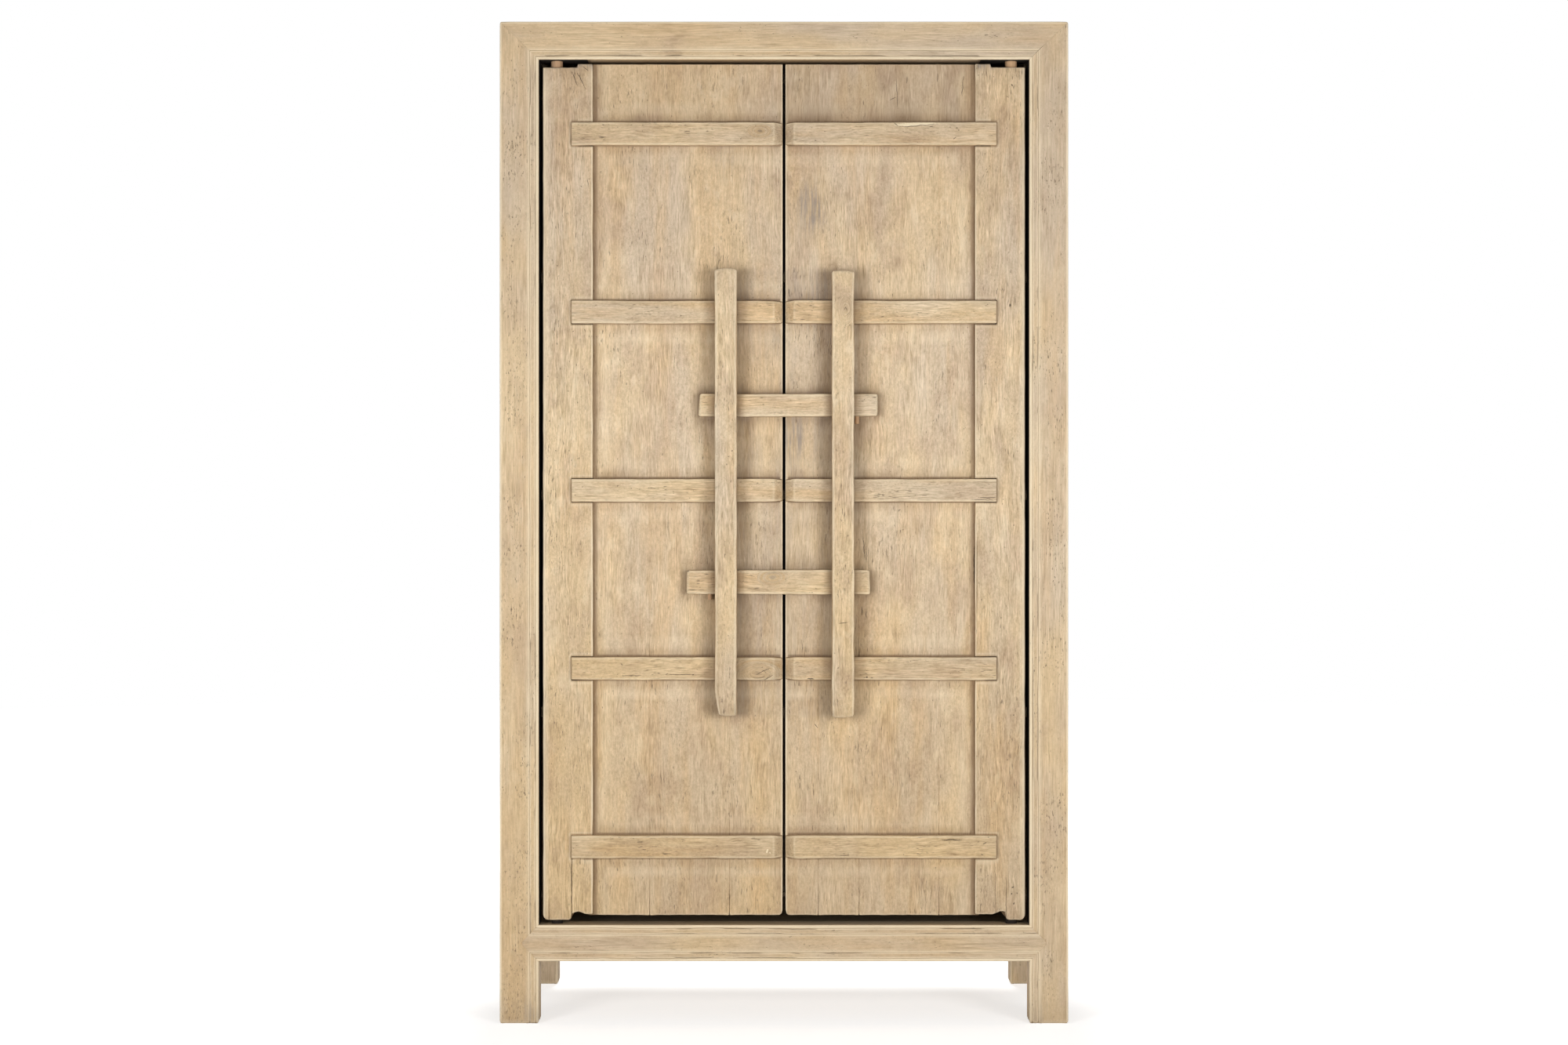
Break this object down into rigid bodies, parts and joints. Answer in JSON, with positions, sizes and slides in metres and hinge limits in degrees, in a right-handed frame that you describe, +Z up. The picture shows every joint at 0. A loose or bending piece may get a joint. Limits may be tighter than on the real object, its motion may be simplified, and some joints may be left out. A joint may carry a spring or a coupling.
{
  "type": "chinese book cabinet",
  "caption": "Tall wooden cabinet on legs with plank doors on wooden pivots, upright bars and sliding wooden bolts, shelved inside.",
  "frame": {"origin": "on the floor under the middle of the whole width and depth, bars included", "axes": "+Z up, front towards -Y, +X to the right as seen from the front"},
  "size_m": [1.016, 0.514, 1.79],
  "materials": {
    "frame_elm": "bleached and glazed elm, fine grained, satin",
    "old_elm": "old weathered elm, bleached, dark glaze in its pits and corners, matt",
    "inner_elm": "plain sanded elm, matt",
    "bare_dowel": "bare turned wood"
  },
  "bodies": {
    "carcass": {"back_panel": "inner_elm", "bottom_panel": "inner_elm", "front_bottom_rail": "frame_elm", "front_top_rail": "frame_elm", "left_bottom_side_rail": "frame_elm", "left_front_leg": "frame_elm", "left_rear_leg": "frame_elm", "left_shelf_bearer_1": "inner_elm", "left_shelf_bearer_2": "inner_elm", "left_shelf_bearer_3": "inner_elm", "left_side_panel": "frame_elm", "left_top_side_rail": "frame_elm", "rear_bottom_rail": "frame_elm", "rear_top_rail": "frame_elm", "right_bottom_side_rail": "frame_elm", "right_front_leg": "frame_elm", "right_rear_leg": "frame_elm", "right_shelf_bearer_1": "inner_elm", "right_shelf_bearer_2": "inner_elm", "right_shelf_bearer_3": "inner_elm", "right_side_panel": "frame_elm", "right_top_side_rail": "frame_elm", "shelf_1": "inner_elm", "shelf_2": "inner_elm", "shelf_3": "inner_elm", "top_panel": "frame_elm"},
    "left_door": {"left_bar": "old_elm", "left_bar_pins": "bare_dowel", "left_bottom_pivot": "bare_dowel", "left_door_batten_1": "old_elm", "left_door_batten_2": "old_elm", "left_door_batten_3": "old_elm", "left_door_batten_4": "old_elm", "left_door_batten_5": "old_elm", "left_door_board_1": "old_elm", "left_door_board_2": "old_elm", "left_door_board_3": "old_elm", "left_pivot_stile": "old_elm", "left_top_pivot": "bare_dowel"},
    "right_door": {"right_bar": "old_elm", "right_bar_pins": "bare_dowel", "right_bottom_pivot": "bare_dowel", "right_door_batten_1": "old_elm", "right_door_batten_2": "old_elm", "right_door_batten_3": "old_elm", "right_door_batten_4": "old_elm", "right_door_batten_5": "old_elm", "right_door_board_1": "old_elm", "right_door_board_2": "old_elm", "right_door_board_3": "old_elm", "right_door_board_4": "old_elm", "right_pivot_stile": "old_elm", "right_top_pivot": "bare_dowel"},
    "upper_bolt": {"upper_bolt": "old_elm", "upper_bolt_peg": "bare_dowel"},
    "lower_bolt": {"lower_bolt": "old_elm", "lower_bolt_peg": "bare_dowel"}
  },
  "joints": [
    {"name": "left_door_hinge", "type": "hinge", "parent": "carcass", "child": "left_door", "pos_m": [-0.4075, -0.195, 0.9], "axis": [0, 0, -1], "range_deg": [0, 95]},
    {"name": "right_door_hinge", "type": "hinge", "parent": "carcass", "child": "right_door", "pos_m": [0.4075, -0.195, 0.9], "axis": [0, 0, 1], "range_deg": [0, 95]},
    {"name": "upper_bolt_slide", "type": "slide", "parent": "right_door", "child": "upper_bolt", "axis": [1, 0, 0], "range_m": [0, 0.165]},
    {"name": "lower_bolt_slide", "type": "slide", "parent": "left_door", "child": "lower_bolt", "axis": [-1, 0, 0], "range_m": [0, 0.165]}
  ]
}
